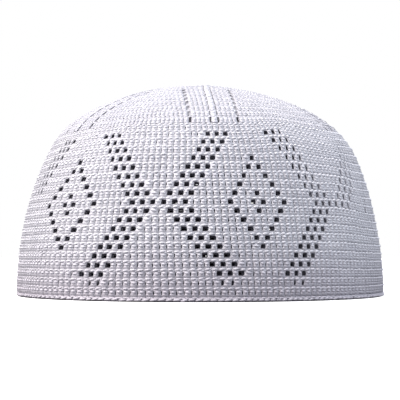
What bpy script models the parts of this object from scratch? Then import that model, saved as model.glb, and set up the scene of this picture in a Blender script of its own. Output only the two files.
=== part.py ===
# A round crocheted cap: a steep band, a low domed crown and a tight edging round at the rim,
# all worked in one thread, so it is one hollow solid.
# Metres, +Z up, resting on its rim at z = 0. Angles are in degrees about the cap's axis:
# 0 faces the front (-Y) and they turn towards +X.

import math
from collections import namedtuple

import bmesh
import bpy
from mathutils import Matrix, Vector

# Wall and rounds of crochet
WALL = 0.0023
STITCHES_PER_ROUND = 192
ROUND_PITCH = 0.00395
EDGING_HEIGHT = 0.0024
BAND_ROUNDS = 19
RIDGE_RISE = 0.00035

# Openwork: six diamonds of eyelets evenly round the band
MOTIFS = 6
DIAMOND_ANGLE = 17.6
DIAMOND_REACH = 5
DIAMOND_MIDDLE_ROUND = 10
EYELET_STEP = 0.75
EYELET_WIDTH = 0.0021
EYELET_HEIGHT = 0.0015

# A soft fold line that runs up the band on its right side
FOLD_ANGLE = 52.0
FOLD_WIDTH = 9.0
FOLD_RISE = 0.0016
FOLD_HEIGHTS = (0.020, 0.040, 0.080, 0.092)

# How far the worn cloth waves in and out at full height
WAVE_DEPTH = 0.0004

# Mesh fineness
TURN_STEPS = 40
CROWN_ROWS = 12
INNER_ROWS = 15
CURVE_SAMPLES = 900

CAP_COLOUR = (0.86, 0.86, 0.90, 1.0)
CAP_ROUGHNESS = 0.6

# The cap's outline from rim to top, through the valleys between the ridges;
# lean is how far the middle of the cap stands to the right at that height
Section = namedtuple("Section", "height radius lean")
SECTIONS = (
    Section(0.0000, 0.0916, 0.0000),
    Section(0.0140, 0.0912, 0.0000),
    Section(0.0300, 0.0893, 0.0000),
    Section(0.0460, 0.0860, 0.0003),
    Section(0.0600, 0.0816, 0.0006),
    Section(0.0710, 0.0769, 0.0009),
    Section(0.0800, 0.0710, 0.0003),
    Section(0.0870, 0.0629, -0.0004),
    Section(0.0930, 0.0525, -0.0010),
    Section(0.0982, 0.0400, -0.0014),
    Section(0.1022, 0.0260, -0.0009),
    Section(0.1046, 0.0120, -0.0004),
    Section(0.1052, 0.0000, 0.0000),
)

Place = namedtuple("Place", "height radius slope_height slope_radius")


def remove_everything():
    for old in list(bpy.data.objects):
        bpy.data.objects.remove(old, do_unlink=True)


def new_collection(name):
    collection = bpy.data.collections.new(name)
    bpy.context.scene.collection.children.link(collection)
    return collection


def smooth_step(low, high, value):
    t = min(max((value - low) / (high - low), 0.0), 1.0)
    return t * t * (3.0 - 2.0 * t)


def outline_samples():
    # A smooth curve through the sections: upright at the rim, level at the top
    points = [Vector((row.radius, row.height)) for row in SECTIONS]
    starts = [0.0]
    for low, high in zip(points, points[1:]):
        starts.append(starts[-1] + (high - low).length)
    tangents = [Vector((0.0, 1.0))]
    for i in range(1, len(points) - 1):
        tangents.append((points[i + 1] - points[i - 1]) / (starts[i + 1] - starts[i - 1]))
    tangents.append(Vector((-1.0, 0.0)))
    samples = []
    for step in range(CURVE_SAMPLES + 1):
        along = starts[-1] * step / CURVE_SAMPLES
        i = max(j for j in range(len(points) - 1) if starts[j] <= along or j == 0)
        span = starts[i + 1] - starts[i]
        t = (along - starts[i]) / span
        samples.append(
            points[i] * (2 * t**3 - 3 * t**2 + 1)
            + tangents[i] * (t**3 - 2 * t**2 + t) * span
            + points[i + 1] * (3 * t**2 - 2 * t**3)
            + tangents[i + 1] * (t**3 - t**2) * span
        )
    return samples


OUTLINE = outline_samples()
DISTANCES = [0.0]
for before, after in zip(OUTLINE, OUTLINE[1:]):
    DISTANCES.append(DISTANCES[-1] + (after - before).length)
FULL_DISTANCE = DISTANCES[-1]
BAND_TOP = EDGING_HEIGHT + BAND_ROUNDS * ROUND_PITCH


def place_at(distance):
    # The outline's point and direction this far up from the rim, measured along the cloth
    i = min(range(len(DISTANCES)), key=lambda j: abs(DISTANCES[j] - distance))
    i = min(max(i, 1), len(OUTLINE) - 2)
    slope = (OUTLINE[i + 1] - OUTLINE[i - 1]).normalized()
    point = OUTLINE[i] + slope * (distance - DISTANCES[i])
    return Place(point.y, max(point.x, 0.0), slope.y, slope.x)


def offset_point(distance, outwards):
    place = place_at(distance)
    return Vector(
        (
            place.radius + place.slope_height * outwards,
            0.0,
            place.height - place.slope_radius * outwards,
        )
    )


def lean_at(height):
    for low, high in zip(SECTIONS, SECTIONS[1:]):
        if height <= high.height:
            t = (height - low.height) / (high.height - low.height)
            return low.lean + (high.lean - low.lean) * t
    return SECTIONS[-1].lean


def moulded(point):
    # Turned shape to worn shape: the fold, the slow waves and the lean
    radius = math.hypot(point.x, point.y)
    angle = math.degrees(math.atan2(point.x, -point.y))
    from_fold = (angle - FOLD_ANGLE) / FOLD_WIDTH
    fade_in = smooth_step(FOLD_HEIGHTS[0], FOLD_HEIGHTS[1], point.z)
    fade_out = 1.0 - smooth_step(FOLD_HEIGHTS[2], FOLD_HEIGHTS[3], point.z)
    fold = math.exp(-(from_fold**2)) - 0.6 * math.exp(-((from_fold / 2.6) ** 2))
    turn = math.radians(angle)
    wave = math.sin(3 * turn + 0.7) + 0.6 * math.sin(5 * turn + 2.0)
    height_share = max(point.z, 0.0) / SECTIONS[-1].height
    off_axis = min(radius / 0.04, 1.0)
    change = FOLD_RISE * fold * fade_in * fade_out + WAVE_DEPTH * wave * height_share * off_axis
    share = (radius + change) / radius if radius > 1e-6 else 1.0
    return Vector((point.x * share + lean_at(point.z), point.y * share, point.z))


def wall_profile():
    # Down the outside from the top to the rim, then up the inside to the top again
    outer = []
    for row in range(CROWN_ROWS):
        outer.append(offset_point(FULL_DISTANCE + (BAND_TOP - FULL_DISTANCE) * row / CROWN_ROWS, 0.0))
    for band_round in range(BAND_ROUNDS):
        ridge = BAND_TOP - band_round * ROUND_PITCH
        outer.append(offset_point(ridge, RIDGE_RISE))
        outer.append(offset_point(ridge - ROUND_PITCH / 2, 0.0))
    outer.append(offset_point(EDGING_HEIGHT, RIDGE_RISE))
    outer.append(Vector((SECTIONS[0].radius, 0.0, 0.0)))
    inner = [Vector((SECTIONS[0].radius - WALL, 0.0, 0.0))]
    for row in range(1, INNER_ROWS + 1):
        inner.append(offset_point(FULL_DISTANCE * row / INNER_ROWS, -WALL))
    outer[0].x = 0.0
    inner[-1].x = 0.0
    return outer + inner


def turned_wall(collection, material):
    points = wall_profile()
    mesh = bpy.data.meshes.new("crocheted_cap")
    mesh.from_pydata(points, [(i, i + 1) for i in range(len(points) - 1)], [])
    cap = bpy.data.objects.new("crocheted_cap", mesh)
    collection.objects.link(cap)
    turn = cap.modifiers.new("turn", "SCREW")
    turn.axis = "Z"
    turn.angle = math.tau
    turn.steps = TURN_STEPS
    turn.render_steps = TURN_STEPS
    turn.use_merge_vertices = True
    turn.merge_threshold = 0.0001
    turn.use_smooth_shade = False
    bpy.context.view_layer.update()
    evaluated = cap.evaluated_get(bpy.context.evaluated_depsgraph_get())
    turned = bpy.data.meshes.new_from_object(evaluated)
    cap.modifiers.clear()
    cap.data = turned
    bpy.data.meshes.remove(mesh)
    turned.name = "crocheted_cap"
    turned.materials.append(material)
    return cap


def mould_wall(cap):
    for vertex in cap.data.vertices:
        vertex.co = moulded(vertex.co)
    cap.data.update()


def diamond_eyelets():
    # Places of one diamond's eyelets: rounds up from its middle, stitches right of it
    places = []
    for up in range(-DIAMOND_REACH, DIAMOND_REACH + 1):
        across = EYELET_STEP * (DIAMOND_REACH - abs(up))
        sides = (-1, 1) if across else (1,)
        places += [(up, side * across) for side in sides]
    return places


def eyelet_frame(motif, up, across):
    # Across the stitches, outwards through the wall and up the cloth
    angle = DIAMOND_ANGLE + 360.0 * motif / MOTIFS + across * 360.0 / STITCHES_PER_ROUND
    distance = EDGING_HEIGHT + (DIAMOND_MIDDLE_ROUND + 0.5 + up) * ROUND_PITCH
    turn = math.radians(angle)
    place = place_at(distance)
    facing = Vector((math.sin(turn), -math.cos(turn), 0.0))
    across_axis = Vector((math.cos(turn), math.sin(turn), 0.0))
    up_axis = facing * place.slope_radius + Vector((0.0, 0.0, place.slope_height))
    out_axis = across_axis.cross(up_axis)
    centre = facing * place.radius + Vector((0.0, 0.0, place.height))
    axes = Matrix((across_axis, -out_axis, up_axis)).transposed().to_4x4()
    return Matrix.Translation(moulded(centre)) @ axes


def eyelet_cutters(collection):
    cutters = bmesh.new()
    size = Matrix.Diagonal((EYELET_WIDTH, WALL * 4, EYELET_HEIGHT, 1.0))
    for motif in range(MOTIFS):
        for up, across in diamond_eyelets():
            bmesh.ops.create_cube(cutters, size=1.0, matrix=eyelet_frame(motif, up, across) @ size)
    mesh = bpy.data.meshes.new("eyelet_cutters")
    bmesh.ops.recalc_face_normals(cutters, faces=cutters.faces)
    cutters.to_mesh(mesh)
    cutters.free()
    cutter = bpy.data.objects.new("eyelet_cutters", mesh)
    cutter.hide_render = True
    cutter.display_type = "WIRE"
    collection.objects.link(cutter)
    return cutter


def pierce(cap, cutter):
    cut = cap.modifiers.new("eyelets", "BOOLEAN")
    cut.operation = "DIFFERENCE"
    cut.solver = "EXACT"
    cut.object = cutter


def cotton_material():
    material = bpy.data.materials.new("white_cotton")
    material.use_nodes = True
    shader = material.node_tree.nodes["Principled BSDF"]
    shader.inputs["Base Color"].default_value = CAP_COLOUR
    shader.inputs["Roughness"].default_value = CAP_ROUGHNESS
    shader.inputs["Metallic"].default_value = 0.0
    material.diffuse_color = CAP_COLOUR
    return material


def main():
    remove_everything()
    parts = new_collection("prayer_cap")
    cutters = new_collection("cutters")
    cutters.hide_render = True
    cap = turned_wall(parts, cotton_material())
    mould_wall(cap)
    pierce(cap, eyelet_cutters(cutters))


main()
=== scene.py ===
import math

import bpy
import numpy as np
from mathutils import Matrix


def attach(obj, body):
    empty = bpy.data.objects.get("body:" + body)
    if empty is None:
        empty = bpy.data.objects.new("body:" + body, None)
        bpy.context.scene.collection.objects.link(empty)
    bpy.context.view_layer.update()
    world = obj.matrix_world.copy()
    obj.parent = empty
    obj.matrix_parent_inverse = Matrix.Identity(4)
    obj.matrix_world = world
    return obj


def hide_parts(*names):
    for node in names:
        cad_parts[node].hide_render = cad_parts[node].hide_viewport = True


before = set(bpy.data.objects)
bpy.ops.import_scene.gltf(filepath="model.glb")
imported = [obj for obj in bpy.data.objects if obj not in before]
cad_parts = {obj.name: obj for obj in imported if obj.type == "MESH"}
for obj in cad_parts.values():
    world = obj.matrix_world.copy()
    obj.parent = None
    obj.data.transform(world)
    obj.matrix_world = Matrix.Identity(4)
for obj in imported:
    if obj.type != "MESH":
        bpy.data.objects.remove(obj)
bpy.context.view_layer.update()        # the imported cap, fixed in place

rng = np.random.default_rng(21)
print("frame loaded, nodes:", list(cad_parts))

millimetre = 0.001

# The cap's form, the same as the solid's. Metres and degrees, angle 0 is the front.
capForm = {
    "outline": [  # height, radius, lean to the right
        (0.0000, 0.0916, 0.0000),
        (0.0140, 0.0912, 0.0000),
        (0.0300, 0.0893, 0.0000),
        (0.0460, 0.0860, 0.0003),
        (0.0600, 0.0816, 0.0006),
        (0.0710, 0.0769, 0.0009),
        (0.0800, 0.0710, 0.0003),
        (0.0870, 0.0629, -0.0004),
        (0.0930, 0.0525, -0.0010),
        (0.0982, 0.0400, -0.0014),
        (0.1022, 0.0260, -0.0009),
        (0.1046, 0.0120, -0.0004),
        (0.1052, 0.0000, 0.0000),
    ],
    "foldAngle": 52.0,
    "foldWidth": 9.0,
    "foldRise": 0.0016,
    "foldSides": (0.6, 2.6),  # depth and width of the hollow beside the fold, as shares of the fold's
    "foldHeights": (0.020, 0.040, 0.080, 0.092),
    "waveDepth": 0.0004,
    "waves": ((3, 0.7, 1.0), (5, 2.0, 0.6)),  # number round the cap, where they start, share of the depth
    "waveRadius": 0.04,  # nearer the axis than this the waves fade out
}

# The work on the hook, from the rim up
crochet = {
    "stitches": 180,  # in each round of the band
    "edging": 0.0024,
    "pitch": 0.00395,
    "bandRounds": 20,  # the last one is solid and starts the crown
    "crownPitch": 0.0052,
    "crownRounds": 15,
    "motifs": 6,
    "middleRound": 10,  # where the bars cross and the diamonds are widest
}

# How the worn cloth pulls its stitches about, angles in degrees
clothPull = {
    # angles on the chart, where the first crossed bars are at 0, and on the cap
    "chart": (-60, -50, -38.75, -21.25, -7.9, 7.9, 21.25, 38.75, 52.1, 67.9, 90, 120, 180, 240, 300),
    "worn": (-74, -64.3, -53.9, -33.3, -20.2, -4.4, 8.4, 25.0, 36.7, 50.4, 73, 103.5, 164.5, 225.5, 286),
    # sideways lean of the stitches for each round up, and its bow, by angle
    "leanAt": (-60, -45, -28, -12, 10, 28, 60, 120),
    "lean": (0.06, 0.04, -0.103, -0.16, -0.19, -0.10, -0.18, 0.0),
    "bow": (0.0, -0.004, -0.0106, 0.0, 0.0, -0.0072, -0.003, 0.0),
    # millimetres that the rounds are pulled up, by angle, each row at its own height up the cloth;
    # every place takes the mean at these angles beside it
    "liftSpread": (-4.0, 0.0, 4.0),
    "liftAt": (-120, -60, -28, -12, 10, 22, 30, 36, 42, 48, 54, 60, 68, 80, 95, 120),
    "liftHeights": (
        0.0, 5.5, 12.3, 20.2, 28.1, 43.9, 55.8, 59.7, 63.7, 67.6, 71.6, 76.0, 84.0, 94.0, 108.0,
    ),
    "lift": (
        (0, 0, 0, 0, 0, 0, 0, 0, 0, 0, 0, 0, 0, 0, 0, 0),
        (0, 0.2, 0, 0.25, 0.4, 0.4, 0.3, 0.3, 0.2, 0.1, 0.05, 0, 0, 0, 0, 0),
        (0, 0.15, -0.2, 0.3, 0.7, 0.5, 0.4, 0.4, 0.2, 0, -0.15, -0.25, -0.35, -0.35, -0.25, 0),
        (0, -0.05, 0, 0.25, 0.4, 0.5, 0.35, 0.3, 0.15, 0.05, -0.2, -0.45, -0.6, -0.5, -0.35, 0),
        (0, -0.4, 0.1, 0, -0.1, 0.2, 0.3, 0.3, 0.25, 0.2, -0.35, -0.75, -1, -0.8, -0.4, 0),
        (0, -0.5, -0.1, 0, 0.1, 0.1, 0.1, 0, 0.3, 0.4, -1.15, -1.45, -1.6, -1.25, -0.7, 0),
        (0, -0.6, 0, 0.2, 0.2, 0.4, 0.9, 0.2, -0.15, 0.15, -1.3, -1.7, -1.3, -0.75, -0.45, 0),
        (0, -0.35, 0.5, 0.4, 0.5, 0.8, 1.9, 0.95, 0.7, 0.55, -0.45, -0.7, -0.5, -0.2, 0, 0),
        (0, -0.1, 1.1, 0.8, 0.8, 1.3, 2.6, 1.6, 0.95, 0.6, 0.25, -0.55, -0.25, 0.4, 0.55, 0),
        (0, 0.1, 1.3, 0.8, 0.8, 1.7, 3.3, 2, 1.15, 0.8, 0.4, -0.1, 0.6, 1.3, 1.1, 0),
        (0, 0.2, 1.6, 0.8, 0.9, 2, 3.8, 2.2, 0.95, 0.4, 0.15, 0.55, 1.5, 2, 1.5, 0),
        (0, 0.4, 1.5, 1.1, 1.2, 2.4, 4.6, 2.7, 1.25, 0.7, 0.15, 0.65, 1.7, 2.2, 1.5, 0),
        (0, 0.3, 0.8, 0.8, 0.8, 1.8, 3.2, 2.4, 1.35, 0.9, 0.95, 1.45, 2.05, 2.05, 1.35, 0),
        (0, 0, 0, 0, 0, 0.6, 1.2, 1, 0.75, 0.65, 0.8, 1.1, 1.3, 1.15, 0.65, 0),
        (0, 0, 0, 0, 0, 0, 0, 0, 0, 0, 0, 0, 0, 0, 0, 0),
    ),
    # where the cloth is stretched tight, by angle: how much wider the stitches lie, how flat the beads
    # and the ropes are pulled, the ropes' size and the millimetres that they rise, how dark the painted
    # shade between the beads is, how much narrower the eyelets are and how far their painted shade lifts
    "tightAt": (-120, -71, -64, -52, -40, -22, 14, 30, 38, 46, 52, 58, 66, 100, 130),
    "wider": (0, 0.14, 0.12, 0.1, 0.06, 0, 0, 0.06, 0.15, 0.2, 0.22, 0.22, 0.22, 0.22, 0),
    "flat": (0, 0.5, 0.4, 0.2, 0.1, 0, 0, 0.25, 0.55, 0.75, 0.85, 0.9, 0.9, 0.9, 0),
    "ropeFlat": (0, 0.6, 0.5, 0.3, 0.1, 0, 0, 0, 0, 0, 0, 0, 0.1, 0.2, 0),
    "ropeSize": (1, 0.72, 0.75, 0.82, 0.95, 1, 1, 1.05, 1.1, 1.1, 1.05, 1.02, 1.04, 1.04, 1),
    "ropeRise": (0, -0.06, -0.08, -0.08, -0.05, 0, 0, 0.03, 0.06, 0.08, 0.08, 0.08, 0.14, 0.18, 0),
    # painted shade between the beads
    "dips": (0.15, 0.4, 0.36, 0.28, 0.18, 0.15, 0.15, 0.15, 0.11, 0.07, 0.07, 0.1, 0.2, 0.25, 0.15),
    "narrow": (0, 0.7, 0.1, -0.15, -0.12, 0, 0, 0, 0.12, 0.35, 0.5, 0.6, 0.8, 0.8, 0),
    # painted shade: how far it is lifted in the eyelets
    "slotShadeLift": (0, 0.85, 0.1, 0, 0, 0, 0, 0, 0.12, 0.35, 0.5, 0.75, 0.85, 0.85, 0),
    "tightHeight": 0.044,  # metres up the cloth where an angle on the chart is read for these rows
    # eyelets that are pulled together or quite shut: from and to angle on the chart, from and to round
    # from the middle, and the share of their width that is left
    "pinched": (
        (-58, -39.2, -9, 1, 0),
        (-58, -36.9, -9, -3, 0),
        (63, 84, -9, -1, 0),
        (41, 62, 2, 9, 0.62),
    ),
    # high up on the right the cloth fills the eyelets: angles and metres up the cloth, how far the
    # painted shade in them is lifted and the metres that it comes out in them
    "filledAngles": (30.0, 40.0, 62.0, 70.0),
    "filledHeights": (0.038, 0.050),
    "filledShadeLift": 0.8,
    "filledRise": 0.0005,
}

stitchAngle = 360.0 / crochet["stitches"]
metresPerDegree = 0.0015  # of the flat work, before it is wrapped on the cap
bandTop = crochet["edging"] + crochet["bandRounds"] * crochet["pitch"]


def smoothStep(low, high, value):
    t = np.clip((value - low) / (high - low), 0.0, 1.0)
    return t * t * (3.0 - 2.0 * t)


def within(limits, value):
    # 1 between the middle two limits, and fades to 0 at the outer two
    low, lowFull, highFull, high = limits
    return smoothStep(low, lowFull, value) * (1.0 - smoothStep(highFull, high, value))


def fromFront(angle):
    # the same angle between -180 and 180
    return (angle + 180.0) % 360.0 - 180.0


def smoothCurve(points, first, last, count):
    # a cubic through the points that starts and ends in the given directions
    points = np.array(points, float)
    starts = np.r_[0.0, np.cumsum(np.linalg.norm(np.diff(points, axis=0), axis=1))]
    tangents = np.empty_like(points)
    tangents[1:-1] = (points[2:] - points[:-2]) / (starts[2:] - starts[:-2])[:, None]
    tangents[0], tangents[-1] = first, last
    along = np.linspace(0.0, starts[-1], count)
    i = np.clip(np.searchsorted(starts, along, side="right") - 1, 0, len(starts) - 2)
    span = (starts[i + 1] - starts[i])[:, None]
    t = (along - starts[i])[:, None] / span
    return (
        points[i] * (2 * t**3 - 3 * t**2 + 1)
        + tangents[i] * (t**3 - 2 * t**2 + t) * span
        + points[i + 1] * (3 * t**2 - 2 * t**3)
        + tangents[i + 1] * (t**3 - t**2) * span
    )


outlineSamples = 1200
outlineRows = np.array(capForm["outline"])
upright, level = (0.0, 1.0), (-1.0, 0.0)  # the cloth at the rim, and at the top
outline = smoothCurve(outlineRows[:, [1, 0]], upright, level, outlineSamples)
distances = np.r_[0.0, np.cumsum(np.linalg.norm(np.diff(outline, axis=0), axis=1))]
slopes = np.gradient(outline, distances, axis=0)
slopes /= np.linalg.norm(slopes, axis=1)[:, None]


def liftOf(angle, distance):
    # metres that the cloth's rounds are pulled up here
    rows = np.array([np.interp(angle, clothPull["liftAt"], row) for row in clothPull["lift"]]) * millimetre
    at = np.array(clothPull["liftHeights"]) * millimetre
    i = np.clip(np.searchsorted(at, distance, side="right") - 1, 0, len(at) - 2)
    t = np.clip((distance - at[i]) / (at[i + 1] - at[i]), 0.0, 1.0)
    columns = np.arange(len(distance))
    return rows[i, columns] * (1.0 - t) + rows[i + 1, columns] * t


def wornAngle(chartAngle, distance):
    # an angle on the band's chart to the angle round the worn cap
    turns = np.floor((chartAngle - clothPull["chart"][0]) / 360.0)
    angle = np.interp(chartAngle - turns * 360.0, clothPull["chart"], clothPull["worn"])
    up = (distance - crochet["edging"]) / crochet["pitch"] - crochet["middleRound"] - 0.5
    lean = np.interp(angle, clothPull["leanAt"], clothPull["lean"])
    bow = np.interp(angle, clothPull["leanAt"], clothPull["bow"])
    return angle + lean * up + bow * up**2


def tight(what, angle):
    # one of the rows for tight cloth, at an angle round the worn cap
    return np.interp(fromFront(angle), clothPull["tightAt"], clothPull[what])


def tightOnChart(what, chartAngle):
    angle = wornAngle(np.array([chartAngle]), np.array([clothPull["tightHeight"]]))[0]
    return float(tight(what, angle))


def wornDistance(angle, distance):
    # metres up the flat work to metres up the worn cloth
    around = fromFront(angle)
    spread = clothPull["liftSpread"]
    return distance + sum(liftOf(around + step, distance) for step in spread) / len(spread)


def onCap(angle, distance, outward):
    # degrees round the cap, metres up the cloth from the rim, metres out of its face
    slopeRadius = np.interp(distance, distances, slopes[:, 0])
    slopeHeight = np.interp(distance, distances, slopes[:, 1])
    radius = np.interp(distance, distances, outline[:, 0]) + slopeHeight * outward
    height = np.interp(distance, distances, outline[:, 1]) - slopeRadius * outward
    height = height + np.minimum(distance, 0.0)  # what reaches past the rim hangs straight down
    turn = np.radians(angle)
    fromFold = (fromFront(angle) - capForm["foldAngle"]) / capForm["foldWidth"]
    sideDepth, sideWidth = capForm["foldSides"]
    fold = np.exp(-(fromFold**2)) - sideDepth * np.exp(-((fromFold / sideWidth) ** 2))
    fade = within(capForm["foldHeights"], height)
    wave = sum(part * np.sin(count * turn + start) for count, start, part in capForm["waves"])
    share = np.maximum(height, 0.0) / outlineRows[-1, 0]
    offAxis = np.clip(radius / capForm["waveRadius"], 0.0, 1.0)
    radius = radius + capForm["foldRise"] * fold * fade + capForm["waveDepth"] * wave * share * offAxis
    lean = np.interp(height, outlineRows[:, 0], outlineRows[:, 2])
    return np.stack([radius * np.sin(turn) + lean, -radius * np.cos(turn), height], axis=1)


# Stitches, each modelled once on a flat piece of work: x along the round, y up, z out of the face

def deselectAll():
    bpy.ops.object.select_all(action="DESELECT")


# Millimetres. Each strand has the points of its path, and half its width and depth along it.
# A post is a bead on a body, with a back; the knots of a rope or the loops lie on top of the posts.
stitchForm = {
    "bead": {
        "path": [(-0.90, -0.12, -0.56), (-0.25, -0.24, -0.20), (0.45, -0.36, -0.20), (1.10, -0.50, -0.56)],
        "thick": [(0.36, 0.28), (0.60, 0.42), (0.60, 0.42), (0.36, 0.28)],
        "sides": 6,
        "rings": 3,
    },
    "body": {
        "path": [(0.17, 1.20, -0.66), (0.17, 0.40, -0.68), (0.18, -0.40, -0.72), (0.10, -1.20, -0.70),
                 (0.0, -2.00, -0.66)],
        "thick": [(1.54, 0.40), (1.47, 0.40), (1.24, 0.40), (1.26, 0.40), (1.56, 0.40)],
        "sides": 4,
        "rings": 4,
    },
    "back": {
        "path": [(0.0, -1.95, -1.76), (0.0, 1.20, -1.76)],
        "thick": [(1.75, 0.32), (1.75, 0.32)],
        "sides": 4,
        "rings": 1,
    },
    "loop": {
        "path": [(-1.64, 0.16, -0.66), (-1.06, 0.10, -0.32), (0.0, 0.0, -0.18), (1.06, -0.10, -0.32),
                 (1.64, -0.16, -0.66)],
        "thick": [(0.28, 0.26), (0.44, 0.34), (0.52, 0.38), (0.44, 0.34), (0.28, 0.26)],
        "sides": 6,
        "rings": 4,
    },
    "knot": {
        "path": [(-1.58, -0.16, -0.58), (-0.93, -0.10, -0.22), (-0.31, -0.02, -0.12), (0.31, 0.06, -0.18),
                 (0.93, 0.12, -0.50), (1.55, 0.04, -0.36)],
        "thick": [(0.26, 0.24), (0.50, 0.40), (0.56, 0.44), (0.48, 0.38), (0.24, 0.22), (0.32, 0.28)],
        "sides": 6,
        "rings": 5,
    },
    "loopDrop": 0.80,  # the loops hang a little below the line between two rounds
    "endPull": 300.0,  # how firmly a strand's ends hold their direction
    "samples": 60,  # of a strand's path
}
loopDrop = stitchForm["loopDrop"] * millimetre


def threadPiece(name):
    # a length of thread that follows its path; one with four sides is flat and faces straight out
    form = stitchForm[name]
    flat = form["sides"] == 4
    deselectAll()
    bpy.ops.mesh.primitive_cylinder_add(
        vertices=form["sides"], radius=1.0, depth=1.0, end_fill_type="NGON"
    )
    thread = bpy.context.object
    thread.name = name
    mesh = thread.data
    bpy.ops.object.mode_set(mode="EDIT")
    bpy.ops.mesh.select_mode(type="EDGE")
    bpy.ops.mesh.select_all(action="DESELECT")
    bpy.ops.object.mode_set(mode="OBJECT")
    for edge in mesh.edges:
        ends = [mesh.vertices[v].co.z for v in edge.vertices]
        edge.select = abs(ends[0] - ends[1]) > 0.5
    bpy.ops.object.mode_set(mode="EDIT")
    if form["rings"] > 1:
        bpy.ops.mesh.subdivide(number_cuts=form["rings"] - 1)
    bpy.ops.object.mode_set(mode="OBJECT")
    path = np.array(form["path"], float) * millimetre
    thickness = np.array(form["thick"], float) * millimetre
    pull, samples = stitchForm["endPull"], stitchForm["samples"]
    middle = smoothCurve(path, (path[1] - path[0]) * pull, (path[-1] - path[-2]) * pull, samples)
    tangents = np.gradient(middle, axis=0)
    tangents /= np.linalg.norm(tangents, axis=1)[:, None]
    step = np.linspace(0.0, 1.0, samples)
    stations = np.linspace(0.0, 1.0, len(thickness))
    widths = np.stack([np.interp(step, stations, side) for side in thickness.T], axis=1)
    length = np.linalg.norm(np.diff(middle, axis=0), axis=1).sum()
    around = np.empty(len(mesh.vertices))
    along = np.empty(len(mesh.vertices))
    for vertex in mesh.vertices:
        x, y = vertex.co.x, vertex.co.y
        t = vertex.co.z + 0.5
        i = round(t * (samples - 1))
        along[vertex.index] = t * length / millimetre
        around[vertex.index] = math.atan2(y, x) / math.tau % 1.0
        if flat:
            x, y = x - y, x + y
        out = np.array((0.0, 0.0, 1.0)) - tangents[i] * tangents[i][2]
        out /= np.linalg.norm(out)
        across = np.cross(tangents[i], out)
        vertex.co = middle[i] + across * x * widths[i][0] + out * y * widths[i][1]
    # the map of the strand: millimetres along it, and turns round it
    strand = mesh.uv_layers[0]
    strand.name = "strand"
    for face in mesh.polygons:
        turns = [around[v] for v in face.vertices]
        seam = max(turns) - min(turns) > 0.5
        for corner, v in zip(face.loop_indices, face.vertices):
            strand.data[corner].uv = (along[v], around[v] + (1.0 if seam and around[v] < 0.5 else 0.0))
    # the path may run either way, so the outside is found again
    bpy.ops.object.mode_set(mode="EDIT")
    bpy.ops.mesh.select_all(action="SELECT")
    bpy.ops.mesh.normals_make_consistent(inside=False)
    bpy.ops.object.mode_set(mode="OBJECT")
    bpy.ops.object.shade_smooth()
    return thread


def joined(name, objects):
    deselectAll()
    for each in objects:
        each.select_set(True)
    bpy.context.view_layer.objects.active = objects[0]
    if len(objects) > 1:
        bpy.ops.object.join()
    whole = bpy.context.object
    whole.name = name
    return whole


postStitch = joined("postStitch", [threadPiece(name) for name in ("bead", "body", "back")])
loopStitch = joined("loopStitch", [threadPiece("loop")])
ropeStitch = joined("ropeStitch", [threadPiece("knot")])
stitches = (postStitch, loopStitch, ropeStitch)
print("stitches modelled:", [len(stitch.data.polygons) for stitch in stitches], "faces")


# Nodes

def feed(tree, node, inputs):
    # each input takes another node's output, or a value
    for name, given in inputs.items():
        if isinstance(given, bpy.types.NodeSocket):
            tree.links.new(given, node.inputs[name])
        else:
            node.inputs[name].default_value = given
    return node


def addNode(tree, kind, inputs=None, **settings):
    node = tree.nodes.new(kind)
    for name, value in settings.items():
        setattr(node, name, value)
    return feed(tree, node, inputs or {})


def addMath(tree, operation, *values):
    return addNode(tree, "ShaderNodeMath", dict(enumerate(values)), operation=operation).outputs[0]


def addMix(tree, factor, first, second):
    inputs = {"Factor": factor, "A": first, "B": second}
    return addNode(tree, "ShaderNodeMix", inputs, data_type="RGBA").outputs["Result"]


def chartNodes():
    # Geometry Nodes that set a stitch on every point of a flat chart and make it real mesh
    tree = bpy.data.node_groups.new("workStitches", "GeometryNodeTree")
    tree.interface.new_socket("Chart", in_out="INPUT", socket_type="NodeSocketGeometry")
    tree.interface.new_socket("Stitch", in_out="INPUT", socket_type="NodeSocketObject")
    tree.interface.new_socket("Work", in_out="OUTPUT", socket_type="NodeSocketGeometry")
    given = addNode(tree, "NodeGroupInput")
    stitch = addNode(tree, "GeometryNodeObjectInfo", {"Object": given.outputs["Stitch"]})
    size, turn = [
        addNode(tree, "GeometryNodeInputNamedAttribute", {"Name": name}, data_type="FLOAT_VECTOR")
        for name in ("size", "turn")
    ]
    place = addNode(tree, "GeometryNodeInstanceOnPoints", {
        "Points": given.outputs["Chart"],
        "Instance": stitch.outputs["Geometry"],
        "Scale": size.outputs["Attribute"],
        "Rotation": turn.outputs["Attribute"],
    })
    real = addNode(tree, "GeometryNodeRealizeInstances", {"Geometry": place.outputs["Instances"]})
    addNode(tree, "NodeGroupOutput", {"Work": real.outputs["Geometry"]})
    return tree


workStitches = chartNodes()


def workChart(name, stitch, chart):
    # chart: rows of x, y, z, three sizes, the turn in the face of the work, and the grey tone
    chart = np.array(chart, float)
    mesh = bpy.data.meshes.new(name)
    mesh.from_pydata(chart[:, 0:3].tolist(), [], [])
    turns = np.zeros((len(chart), 3))
    turns[:, 2] = chart[:, 6]
    for attribute, columns in (("size", chart[:, 3:6]), ("turn", turns)):
        values = mesh.attributes.new(attribute, "FLOAT_VECTOR", "POINT").data
        values.foreach_set("vector", columns.ravel())
    mesh.attributes.new("tone", "FLOAT", "POINT").data.foreach_set("value", chart[:, 7])
    piece = bpy.data.objects.new(name, mesh)
    bpy.context.scene.collection.objects.link(piece)
    deselectAll()
    piece.select_set(True)
    bpy.context.view_layer.objects.active = piece
    nodes = piece.modifiers.new("stitches", "NODES")
    nodes.node_group = workStitches
    socket = workStitches.interface.items_tree["Stitch"].identifier
    nodes[socket] = stitch
    bpy.ops.object.modifier_apply(modifier="stitches")
    for attribute in ("size", "turn"):
        piece.data.attributes.remove(piece.data.attributes[attribute])
    return piece
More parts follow.
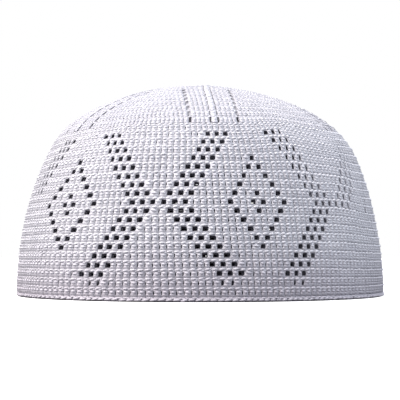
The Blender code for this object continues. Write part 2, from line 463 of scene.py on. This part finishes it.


# What a place's depth in the work does, in millimetres behind its face; mostly it sets painted shade
depthForm = {
    "face": 0.95,  # all that is nearer is pulled flat where the cloth is tight
    "dips": (-0.15, 0.4),  # where the painted shade between the beads starts, and where it is full
    "plainDips": 0.4,  # how dark the painted shade in the dips is where the cloth isn't on the chart
    "slots": (0.7, 1.1, 1.95, 2.1),  # painted shade on the eyelets' sides, but not on the inside of the cap
    "slotShade": 0.8,
    "besideRopes": (-0.6, 0.1),  # painted shade: posts a little darker than ropes, where the cloth is tight
    "besideRopesShade": 0.07,
    "filling": (1.0, 1.3, 1.95, 2.1),  # what comes out where the cloth fills the eyelets
}


def wrapOnCap(piece, charted=True, flatness=None):
    # lays flat work on the cap; charted work follows the band's chart, and flatness is the row of
    # clothPull that flattens its face
    mesh = piece.data
    flat = np.empty(len(mesh.vertices) * 3)
    mesh.vertices.foreach_get("co", flat)
    flat = flat.reshape(-1, 3)
    angle, distance = flat[:, 0] / metresPerDegree, flat[:, 1]
    dips, filled = depthForm["plainDips"], 0.0
    if charted:
        angle = wornAngle(angle, distance)
        dips = tight("dips", angle)
        highUp = smoothStep(*clothPull["filledHeights"], distance)
        filled = within(clothPull["filledAngles"], angle) * highUp
    deep = -flat[:, 2] / millimetre
    # painted shade, kept as an attribute for the material: dark in the dips and on the eyelets' sides,
    # lifted where the eyelets are tight or filled
    slotShadeLift = np.maximum(tight("slotShadeLift", angle), clothPull["filledShadeLift"] * filled)
    paintedShade = dips * smoothStep(*depthForm["dips"], deep)
    paintedShade += depthForm["slotShade"] * within(depthForm["slots"], deep) * (1.0 - slotShadeLift)
    if flatness == "flat":
        beside = smoothStep(*depthForm["besideRopes"], deep)
        paintedShade += depthForm["besideRopesShade"] * tight("flat", angle) * beside
    mesh.attributes.new("paintedShade", "FLOAT", "POINT").data.foreach_set("value", paintedShade)
    outward = flat[:, 2] + clothPull["filledRise"] * filled * within(depthForm["filling"], deep)
    if flatness:
        face = deep < depthForm["face"]
        outward[face] *= 1.0 - tight(flatness, angle[face])
    distance = wornDistance(angle, distance)
    mesh.vertices.foreach_set("co", onCap(angle, distance, outward).ravel())
    mesh.update()


def jitter(size):
    return rng.normal(0.0, size)


def greyOf(least, more):
    return least + more * rng.random()


# The chart: where the eyelets and the posts between them stand in each round, in degrees on the chart
eyeletChart = {
    "width": 1.40,
    "uneven": 0.07,  # how far an eyelet's place strays, and its width as a share
    "barRounds": 8,  # up and down from the middle round
    "barStart": 4.8,  # the middle one of a bar's three eyelets where the bars cross
    "barStepUp": 1.795,
    "barStepDown": 1.82,
    "step": 3.1,  # between the three eyelets of a bar
    "diamondAngle": 30.0,
    "diamonds": ((5, 1.75), (1, 1.6)),  # the outer one and the four eyelets inside: rounds to its tip, step
    "slitRound": -9,  # from the middle round
    "footSlits": (17.0, 19.8),  # small slits under the foot of a bar
    "slitWidth": 0.42,
    "columnStart": 0.15,  # in stitches, as the next
    "postRoom": 0.6,  # between an eyelet and the next column's edge
}


def eyeletsOf(bandRound):
    # middle and width of every eyelet in the round
    form = eyeletChart
    up = bandRound - crochet["middleRound"]
    places = []
    if abs(up) <= form["barRounds"]:
        middle = form["barStart"] + abs(up) * (form["barStepUp"] if up > 0 else form["barStepDown"])
        places += [side * (middle + form["step"] * j) for side in (-1, 1) for j in (-1, 0, 1)]
    for rounds, step in form["diamonds"]:
        if abs(up) <= rounds:
            reach = step * (rounds - abs(up))
            places += [form["diamondAngle"] + side * reach for side in ((-1, 1) if reach else (1,))]
    eyelets = [(place, form["width"]) for place in places]
    if up == form["slitRound"]:
        eyelets += [(side * slit, form["slitWidth"]) for side in (-1, 1) for slit in form["footSlits"]]
    starts = [360.0 / crochet["motifs"] * motif for motif in range(crochet["motifs"])]
    return sorted(((place + start) % 360.0, width) for start in starts for place, width in eyelets)


def postsOf(bandRound):
    # middle and width of every post in the round; they stand in columns, and give way to the eyelets
    up = bandRound - crochet["middleRound"]
    start, room = eyeletChart["columnStart"], eyeletChart["postRoom"] * stitchAngle
    columns = [stitchAngle * (i + start) for i in range(2 * crochet["stitches"])]
    eyelets = []
    for place, width in eyeletsOf(bandRound):
        share = 1.0 - tightOnChart("narrow", place)
        for low, high, first, last, left in clothPull["pinched"]:
            if low < fromFront(place) < high and first <= up <= last:
                share *= left
        if share > 0.0:
            strayed = place + jitter(eyeletChart["uneven"])
            eyelets.append((strayed, width * share * (1 + jitter(eyeletChart["uneven"]))))
    if not eyelets:
        return [widened(edge, edge + stitchAngle) for edge in columns[: crochet["stitches"]]]
    posts = []
    for here, there in zip(eyelets, eyelets[1:] + [(eyelets[0][0] + 360.0, eyelets[0][1])]):
        left, right = here[0] + here[1] / 2, there[0] - there[1] / 2
        edges = [left] + [edge for edge in columns if left + room < edge < right - room] + [right]
        posts += [widened(low, high, low > left, high < right) for low, high in zip(edges, edges[1:])]
    return posts


def widened(low, high, onLeft=True, onRight=True):
    # a post's middle and width; where the cloth is tight it spreads, but not into an eyelet
    more = tightOnChart("wider", (low + high) / 2) * stitchAngle / 2
    low, high = low - more * onLeft, high + more * onRight
    return (low + high) / 2, high - low


# The band. Uneven places are in metres, sizes are shares and turns are radians; a grey has its least
# and what chance may add; the posts' greater least is painted shade.
bandForm = {
    "pieces": {
        "band_lowest_rounds": range(0, 5),
        "band_lower_rounds": range(5, 10),
        "band_upper_rounds": range(10, 15),
        "band_top_rounds": range(15, crochet["bandRounds"]),
    },
    "snug": 0.045,  # how much wider the posts of the top rounds are
    "snugRounds": (12.0, 17.0),  # where that starts and where it is full
    "postPlace": 0.00005,
    "postHeight": 0.03,
    "postDepth": 0.04,
    "postTurn": 0.04,
    # painted shade: the posts are greyer than the ropes, which stand paler as if in the light
    "postGrey": (0.4, 0.6),
    "loopAlong": 0.00005,
    "loopPlace": 0.00006,
    "loopThick": 0.06,
    "loopTurn": 0.05,
    "loopGrey": (0.0, 0.3),
    "loopShift": 0.65,  # in stitches, to the middle of a column
}


def postRow(bandRound):
    form = bandForm
    up = crochet["edging"] + (bandRound + 0.5) * crochet["pitch"]
    snug = 1.0 + form["snug"] * float(smoothStep(*form["snugRounds"], bandRound))
    rows = []
    for middle, width in postsOf(bandRound):
        rows.append((
            middle * metresPerDegree, up + jitter(form["postPlace"]), jitter(form["postPlace"]),
            snug * width / stitchAngle, 1 + jitter(form["postHeight"]), 1 + jitter(form["postDepth"]),
            jitter(form["postTurn"]), greyOf(*form["postGrey"]),
        ))
    return rows


def loopRow(up, lift=0.0, size=1.0, shift=bandForm["loopShift"], turn=0.0):
    # a loop or knot over every stitch, along the line at this height up the cloth
    form = bandForm
    rows = []
    for i in range(crochet["stitches"]):
        middle = (i + shift) * stitchAngle
        rise = lift + tightOnChart("ropeRise", middle) * millimetre
        ropeSize = tightOnChart("ropeSize", middle)
        rows.append((
            middle * metresPerDegree + jitter(form["loopAlong"]),
            up - loopDrop + jitter(form["loopPlace"]), rise + jitter(form["loopPlace"]),
            ropeSize, size * ropeSize * (1 + jitter(form["loopThick"])), 1 + jitter(form["loopThick"]),
            turn + jitter(form["loopTurn"]), greyOf(*form["loopGrey"]),
        ))
    return rows


# The crown: six strips of straight columns, with a rib down the middle and eyelets at both edges, and
# gores between them. Metres; the uneven places, sizes and turns are as in the band.
crownForm = {
    "pieces": {
        "crown_outer_rounds": range(0, 6),
        "crown_inner_rounds": range(6, crochet["crownRounds"]),
    },
    "stripAngle": 3.0,
    "stripShift": 0.0024,  # how far a strip's middle runs beside the cap's middle
    "stripHalf": 0.0108,
    "stripMost": 0.5,  # sine of half a sector, past which strips would meet
    "rib": 0.0024,
    "ribRise": 0.0003,
    "groove": 0.0005,
    "grooveRadius": 0.018,  # nearer the middle of the crown there are no grooves
    "firstGroove": 2.0,  # times wider in the crown's first round
    "grooveLoop": 1.8,  # times wider than its groove
    "column": 0.0021,
    "leastStrip": 0.0008,  # what is narrower gets no columns
    "leastGore": 0.001,
    "eyelet": 0.0014,
    "eyeletRounds": 8,
    "relief": 0.36,  # of a stitch's depth in the band
    "postWidth": 1.04,  # of its column
    "loopWidth": 1.05,
    "loopThick": 0.9,
    "gapLoop": 1.35,  # thickness of the loops over gaps and grooves
    "rightLift": 0.00036,  # how far the lower loops stand out at the right
    "rightAngles": (52.0, 70.0, 105.0, 130.0),  # where they do
    "rightRounds": (2.0, 7.0),  # where that fades out
    "unevenUp": 0.00005,
    "unevenOut": 0.00002,
    "unevenHeight": 0.02,
    "unevenDepth": 0.05,
    "unevenThick": 0.05,
    "unevenTurn": 0.02,
    # painted shade: the crown is greyer than the band, to tone down the light falling on the top
    "postGrey": (1.1, 0.6),
    "loopGrey": (0.5, 0.6),
}


def crownHeight(crownRound):
    # metres up the cloth, to the middle of a round
    return bandTop + (crownRound + 0.5) * crochet["crownPitch"]


def columnsIn(start, end, perDegree):
    count = max(1, round((end - start) * perDegree / crownForm["column"]))
    width = (end - start) / count
    return [(start + (i + 0.5) * width, width, 0.0) for i in range(count)]


def crownAngle(size, radius):
    # degrees round the crown that a length across a strip takes up
    return math.degrees(math.asin(min(size / radius, crownForm["stripMost"])))


def crownPosts(crownRound):
    # angle and width in degrees, and lift, of every post in the round, and of every gap that only
    # a loop crosses
    form = crownForm
    radius = float(np.interp(crownHeight(crownRound), distances, outline[:, 0]))
    perDegree = radius * math.pi / 180.0
    sector = 360.0 / crochet["motifs"]
    half = crownAngle(form["stripHalf"], radius)
    gap = form["eyelet"] / perDegree if crownRound < form["eyeletRounds"] else 0.0
    wider = form["firstGroove"] if crownRound == 0 else 1.0
    groove = form["groove"] * wider / perDegree if radius > form["grooveRadius"] else 0.0
    rib = min(form["rib"] / perDegree, 2 * half)
    start = form["stripAngle"] + crownAngle(form["stripShift"], radius)
    posts, gaps = [], []
    for motif in range(crochet["motifs"]):
        middle = start + sector * motif
        posts.append((middle, rib, form["ribRise"] if groove else 0.0))
        side = half - gap / 2
        if (side - groove - rib / 2) * perDegree > form["leastStrip"]:
            posts += columnsIn(middle - side, middle - rib / 2 - groove, perDegree)
            posts += columnsIn(middle + rib / 2 + groove, middle + side, perDegree)
        if gap:
            gaps += [(middle + edge * half, gap, 0.0) for edge in (-1, 1)]
        if groove:
            width = groove * form["grooveLoop"]
            gaps += [(middle + edge * (rib + groove) / 2, width, 0.0) for edge in (-1, 1)]
        if (sector - 2 * half) * perDegree > form["leastGore"]:
            posts += columnsIn(middle + half + gap / 2, middle + sector - half - gap / 2, perDegree)
    return posts, gaps


def crownRows(crownRound):
    form = crownForm
    up = crownHeight(crownRound)
    tall = crochet["crownPitch"] / crochet["pitch"]
    lower = 1.0 - float(smoothStep(*form["rightRounds"], crownRound))
    columns, gaps = crownPosts(crownRound)
    posts, loops = [], []
    for angle, width, rib in columns:
        posts.append((
            angle * metresPerDegree, up + jitter(form["unevenUp"]), rib + jitter(form["unevenOut"]),
            width / stitchAngle * form["postWidth"], tall * (1 + jitter(form["unevenHeight"])),
            form["relief"] * (1 + jitter(form["unevenDepth"])),
            jitter(form["unevenTurn"]), greyOf(*form["postGrey"]),
        ))
    for i, (angle, width, rib) in enumerate(columns + gaps):
        thick = form["loopThick"] if i < len(columns) else form["gapLoop"]
        proud = form["rightLift"] * lower * float(within(form["rightAngles"], angle))
        lift = rib + proud + jitter(form["unevenOut"])
        loops.append((
            angle * metresPerDegree,
            up + crochet["crownPitch"] / 2 - loopDrop + jitter(form["unevenUp"]), lift,
            width / stitchAngle * form["loopWidth"], thick * (1 + jitter(form["unevenThick"])),
            form["relief"],
            jitter(form["unevenTurn"]), greyOf(*form["loopGrey"]),
        ))
    return posts, loops


# Materials

def threadGroup():
    # the ply of the thread: slanted ridges along each strand, and a fine fuzz
    group = bpy.data.node_groups.new("threadPly", "ShaderNodeTree")
    for name in ("Turns", "Plies", "Fuzz", "Fuzz Scale"):
        group.interface.new_socket(name, in_out="INPUT", socket_type="NodeSocketFloat")
    group.interface.new_socket("Height", in_out="OUTPUT", socket_type="NodeSocketFloat")
    given = addNode(group, "NodeGroupInput")
    strand = addNode(group, "ShaderNodeUVMap", uv_map="strand")
    split = addNode(group, "ShaderNodeSeparateXYZ", {"Vector": strand.outputs["UV"]})
    along = addMath(group, "MULTIPLY", split.outputs["X"], given.outputs["Turns"])
    around = addMath(group, "MULTIPLY", split.outputs["Y"], given.outputs["Plies"])
    phase = addMath(group, "MULTIPLY", addMath(group, "ADD", along, around), math.tau)
    ridges = addMath(group, "SINE", phase)
    place = addNode(group, "ShaderNodeTexCoord")
    fuzz = addNode(group, "ShaderNodeTexNoise", {
        "Vector": place.outputs["Object"],
        "Scale": given.outputs["Fuzz Scale"],
        "Detail": 3.0,
    })
    spread = addMath(group, "MULTIPLY", fuzz.outputs["Fac"], given.outputs["Fuzz"])
    addNode(group, "NodeGroupOutput", {"Height": addMath(group, "ADD", ridges, spread)})
    return group


threadPly = threadGroup()

threadLook = {
    "pale": (0.96, 0.96, 0.985, 1.0),
    "grey": (0.74, 0.74, 0.79, 1.0),
    "patchScale": 60.0,  # how fine the greyer patches are
    "deep": (0.05, 0.045, 0.06, 1.0),  # painted shade: near-black on the thread in the dips and the eyelets
    "bounceShade": (0.42, 0.42, 0.47, 1.0),  # painted shade: the thread's darker colour to bouncing light
    # painted shade: the thread darker and pinker towards the rim
    "rim": (0.565, 0.48, 0.555, 1.0),
    "rimShadeShare": 0.5,  # how far the painted rim shade covers the thread's colour at the rim
    "rimHeight": 0.028,
    "roughness": 0.36,
    "sheen": 0.25,
    "sheenRoughness": 0.4,
    "plyTurns": 1.2,
    "plies": 2.0,
    "fuzz": 0.3,
    "fuzzScale": 2600.0,
    "bump": 0.35,
    "bumpDepth": 0.00012,
}


def threadMaterial(name, look):
    material = bpy.data.materials.new(name)
    material.use_nodes = True
    tree = material.node_tree
    place = addNode(tree, "ShaderNodeTexCoord")
    tone = addNode(tree, "ShaderNodeAttribute", attribute_name="tone")
    patches = addNode(tree, "ShaderNodeTexNoise", {
        "Vector": place.outputs["Object"],
        "Scale": look["patchScale"],
    })
    patchy = addMath(tree, "MULTIPLY", tone.outputs["Fac"], patches.outputs["Fac"])
    cotton = addMix(tree, patchy, look["pale"], look["grey"])
    # painted shade: darker and pinker towards the rim, fading out by rimHeight
    split = addNode(tree, "ShaderNodeSeparateXYZ", {"Vector": place.outputs["Object"]})
    towardsRim = addNode(tree, "ShaderNodeMapRange", {
        "Value": split.outputs["Z"],
        "From Min": 0.0,
        "From Max": look["rimHeight"],
        "To Min": look["rimShadeShare"],
        "To Max": 0.0,
    })
    # the thread with the painted rim shade
    worn = addMix(tree, towardsRim.outputs["Result"], cotton, look["rim"])
    # painted shade from the depth of the work, in the dips and on the eyelets' sides
    paintedShade = addNode(tree, "ShaderNodeAttribute", attribute_name="paintedShade")
    shaded = addMix(tree, paintedShade.outputs["Fac"], worn, look["deep"])
    # painted shade: light bouncing between the stitches meets a darker thread, deepening the crevices
    path = addNode(tree, "ShaderNodeLightPath")
    soft = addMix(tree, path.outputs["Is Diffuse Ray"], shaded, look["bounceShade"])
    ply = addNode(tree, "ShaderNodeGroup", node_tree=threadPly)
    feed(tree, ply, {
        "Turns": look["plyTurns"],
        "Plies": look["plies"],
        "Fuzz": look["fuzz"],
        "Fuzz Scale": look["fuzzScale"],
    })
    bump = addNode(tree, "ShaderNodeBump", {
        "Height": ply.outputs["Height"],
        "Strength": look["bump"],
        "Distance": look["bumpDepth"],
    })
    feed(tree, tree.nodes["Principled BSDF"], {
        "Base Color": soft,
        "Normal": bump.outputs["Normal"],
        "Roughness": look["roughness"],
        "Sheen Weight": look["sheen"],
        "Sheen Roughness": look["sheenRoughness"],
    })
    return material


cottonThread = threadMaterial("cottonThread", threadLook)
print("materials made")


def finishPiece(name, parts):
    # the parts as one piece of the cap
    piece = joined(name, parts)
    piece.data.materials.clear()
    piece.data.materials.append(cottonThread)
    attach(piece, "root")
    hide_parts("crocheted_cap")
    print(piece.name, sum(len(face.vertices) - 2 for face in piece.data.polygons), "triangles")


# Band
for name, rounds in bandForm["pieces"].items():
    posts, loops = [], []
    for bandRound in rounds:
        posts += postRow(bandRound)
        loops += loopRow(crochet["edging"] + (bandRound + 1) * crochet["pitch"])
    work = [workChart(name, postStitch, posts), workChart(name + "_ropes", ropeStitch, loops)]
    wrapOnCap(work[0], flatness="flat")
    wrapOnCap(work[1], flatness="ropeFlat")
    finishPiece(name, work)

# Edging: short posts, with loops along their top, over their foot and inside it
edgingForm = {
    "postHeight": 0.0016,  # up the cloth
    "postOut": -0.0002,
    "postSize": (1.0, 0.6, 0.9),  # of a post in the band
    "postUneven": 0.00004,
    "postTurn": 0.02,
    "postGrey": (0.0, 1.0),
    "loops": (
        {"up": crochet["edging"], "lift": -0.00015, "size": 0.85},
        {"up": 0.00092 + loopDrop, "size": 1.1, "shift": 0.15, "turn": 0.24},
        {"up": 0.00066 + loopDrop, "lift": -0.0009, "size": 0.85},
    ),
}
posts, loops = [], []
for i in range(crochet["stitches"]):
    posts.append((
        i * stitchAngle * metresPerDegree, edgingForm["postHeight"] + jitter(edgingForm["postUneven"]),
        edgingForm["postOut"], *edgingForm["postSize"],
        jitter(edgingForm["postTurn"]), greyOf(*edgingForm["postGrey"]),
    ))
for row in edgingForm["loops"]:
    loops += loopRow(**row)
work = [workChart("edging_round", postStitch, posts), workChart("edging_loops", loopStitch, loops)]
for part in work:
    wrapOnCap(part)
finishPiece("edging_round", work)

# Crown
for name, rounds in crownForm["pieces"].items():
    posts, loops = [], []
    for crownRound in rounds:
        newPosts, newLoops = crownRows(crownRound)
        posts += newPosts
        loops += newLoops
    work = [workChart(name, postStitch, posts), workChart(name + "_ropes", ropeStitch, loops)]
    for part in work:
        wrapOnCap(part, charted=False)
    finishPiece(name, work)

for stitch in stitches:
    bpy.data.objects.remove(stitch, do_unlink=True)

# Web: the cloth behind the stitches, in rings whose sections are millimetres up from a round's middle
# and out of the face of the work
webForm = {
    "segments": 120,
    "band": [(-3.0, -0.36), (-2.2, -0.36), (-1.60, -0.40), (-1.55, -1.35), (-1.0, -1.75), (-1.0, -2.10),
             (-2.4, -2.2), (-4.1, -2.10), (-4.1, -1.75), (-3.52, -1.35), (-3.50, -0.45)],
    "rim": [(-1.85, -0.30), (-1.70, -0.30), (-1.60, -0.40), (-1.55, -1.35), (-1.0, -1.75), (-1.0, -2.10),
            (-2.5, -2.1), (-4.1, -1.9), (-4.1, -0.9)],
    "crownEdge": [(0.4, -1.15), (5.4, -1.1), (7.5, -0.70)],  # up from the top of the band
    "crownStep": 8.0,  # between two rows of the crown's closed cloth
    "crownSteps": 10,
    "crownOutside": -0.70,
    "crownInside": -2.1,
    "strandLength": 576.0,  # millimetres of thread, once round the cap
    "strandTurns": 3.0,
    "grey": 0.5,
    "weld": 0.00001,
    "crease": 50.0,  # degrees
}


def crownSection():
    # over the crown to its middle and back inside
    steps = [webForm["crownStep"] * i for i in range(1, webForm["crownSteps"] + 1)]
    outside = [(up, webForm["crownOutside"]) for up in steps[1:]]
    inside = [(up, webForm["crownInside"]) for up in reversed(steps)]
    return webForm["crownEdge"] + outside + inside + [(webForm["crownEdge"][0][0], webForm["crownInside"])]


def webRing(section, row):
    # a closed band of cloth: its section carried round the cap
    deselectAll()
    bpy.ops.mesh.primitive_grid_add(
        x_subdivisions=webForm["segments"], y_subdivisions=len(section), size=1.0
    )
    ring = bpy.context.object
    mesh = ring.data
    strand = mesh.uv_layers[0]
    strand.name = "strand"
    for face in mesh.polygons:
        for corner, v in zip(face.loop_indices, face.vertices):
            place = mesh.vertices[v].co
            strand.data[corner].uv = (
                (place.x + 0.5) * webForm["strandLength"], (place.y + 0.5) * webForm["strandTurns"]
            )
    for vertex in mesh.vertices:
        up, out = section[round((vertex.co.y + 0.5) * len(section)) % len(section)]
        along = (vertex.co.x + 0.5) * 360.0 * metresPerDegree
        vertex.co = (along, row + up * millimetre, out * millimetre)
    greys = np.full(len(mesh.vertices), webForm["grey"])
    mesh.attributes.new("tone", "FLOAT", "POINT").data.foreach_set("value", greys)
    wrapOnCap(ring, charted=False)
    bpy.ops.object.mode_set(mode="EDIT")
    bpy.ops.mesh.select_all(action="SELECT")
    bpy.ops.mesh.remove_doubles(threshold=webForm["weld"])
    bpy.ops.mesh.delete_loose(use_verts=True, use_edges=True)
    bpy.ops.mesh.select_all(action="SELECT")
    bpy.ops.mesh.normals_make_consistent(inside=False)
    bpy.ops.object.mode_set(mode="OBJECT")
    bpy.ops.object.shade_smooth_by_angle(angle=math.radians(webForm["crease"]))
    return ring


firstRow = crochet["edging"] + crochet["pitch"] / 2
rings = [webRing(webForm["rim"], firstRow)]
for bandRound in range(1, crochet["bandRounds"] + 1):
    rings.append(webRing(webForm["band"], firstRow + bandRound * crochet["pitch"]))
rings.append(webRing(crownSection(), bandTop))
finishPiece("inner_web", rings)

# Floor, light and camera
stageForm = {
    "floorSize": 12.0,
    "floorPale": (0.9, 0.9, 0.9, 1.0),
    "floorRoughness": 0.9,
    "floorGlow": (1.0, 1.0, 1.0, 1.0),
    "floorGlowStrength": 0.8,
    "floorDull": (0.12, 0.12, 0.13, 1.0),  # painted shade: dull to bounced light, and in the cap's shade
    "darkRadius": 0.0906,  # painted shade: under the cap the floor stays dull, as it gets no light
    "air": (0.86, 0.885, 1.0, 1.0),
    "airStrength": 0.78,
    "backdrop": (1.0, 1.0, 1.0, 1.0),
    # name, azimuth from the front to the right, elevation and spread in degrees, strength and colour
    "lights": (
        ("keyLight", -80.0, 58.0, 70.0, 2.85, (1.0, 0.925, 0.89)),
        ("leftLight", -74.0, 30.0, 50.0, 1.3, (1.0, 0.93, 0.94)),
        ("rightLight", 95.0, 40.0, 60.0, 0.85, (0.80, 0.89, 1.0)),
    ),
    "cameraDistance": 0.550,
    "cameraHeight": 0.020,
    "cameraTilt": 2.91,  # degrees up
    "lens": 97.5,
}


def floorMaterial():
    # pale to the camera, but dull to the cap, and painted dull in its shade
    material = bpy.data.materials.new("paleFloor")
    material.use_nodes = True
    tree = material.node_tree
    pale = feed(tree, tree.nodes["Principled BSDF"], {
        "Base Color": stageForm["floorPale"],
        "Roughness": stageForm["floorRoughness"],
        "Emission Color": stageForm["floorGlow"],
        "Emission Strength": stageForm["floorGlowStrength"],
    })
    dull = addNode(tree, "ShaderNodeBsdfDiffuse", {"Color": stageForm["floorDull"]})
    place = addNode(tree, "ShaderNodeTexCoord")
    reach = addNode(tree, "ShaderNodeVectorMath", {0: place.outputs["Object"]}, operation="LENGTH")
    # painted shade under the cap: there the floor stays dull to the camera
    outside = addMath(tree, "GREATER_THAN", reach.outputs["Value"], stageForm["darkRadius"])
    path = addNode(tree, "ShaderNodeLightPath")
    pick = addNode(tree, "ShaderNodeMixShader", {
        "Fac": addMath(tree, "MULTIPLY", outside, path.outputs["Is Camera Ray"]),
        1: dull.outputs["BSDF"],
        2: pale.outputs["BSDF"],
    })
    feed(tree, tree.nodes["Material Output"], {"Surface": pick.outputs["Shader"]})
    return material


deselectAll()
bpy.ops.mesh.primitive_plane_add(size=stageForm["floorSize"])
floor = bpy.context.object
floor.name = "floor"
floor.data.materials.append(floorMaterial())


def studioWorld():
    # soft light for the cap, and a white backdrop for the camera
    world = bpy.data.worlds.new("studio")
    world.use_nodes = True
    tree = world.node_tree
    air = feed(tree, tree.nodes["Background"], {
        "Color": stageForm["air"],
        "Strength": stageForm["airStrength"],
    })
    backdrop = addNode(tree, "ShaderNodeBackground", {"Color": stageForm["backdrop"], "Strength": 1.0})
    path = addNode(tree, "ShaderNodeLightPath")
    pick = addNode(tree, "ShaderNodeMixShader", {
        "Fac": path.outputs["Is Camera Ray"],
        1: air.outputs["Background"],
        2: backdrop.outputs["Background"],
    })
    feed(tree, tree.nodes["World Output"], {"Surface": pick.outputs["Shader"]})
    return world


bpy.context.scene.world = studioWorld()

for name, azimuth, elevation, spread, strength, colour in stageForm["lights"]:
    bpy.ops.object.light_add(type="SUN")
    light = bpy.context.object
    light.name = name
    light.data.angle = math.radians(spread)
    light.data.energy = strength
    light.data.color = colour
    light.rotation_euler = (math.radians(90.0 - elevation), 0.0, math.radians(azimuth))

bpy.ops.object.camera_add(location=(0.0, -stageForm["cameraDistance"], stageForm["cameraHeight"]))
camera = bpy.context.object
camera.data.lens = stageForm["lens"]
camera.rotation_euler = (math.radians(90.0 + stageForm["cameraTilt"]), 0.0, 0.0)
bpy.context.scene.camera = camera
bpy.context.scene.view_settings.view_transform = "Standard"
print("floor, light and camera set")
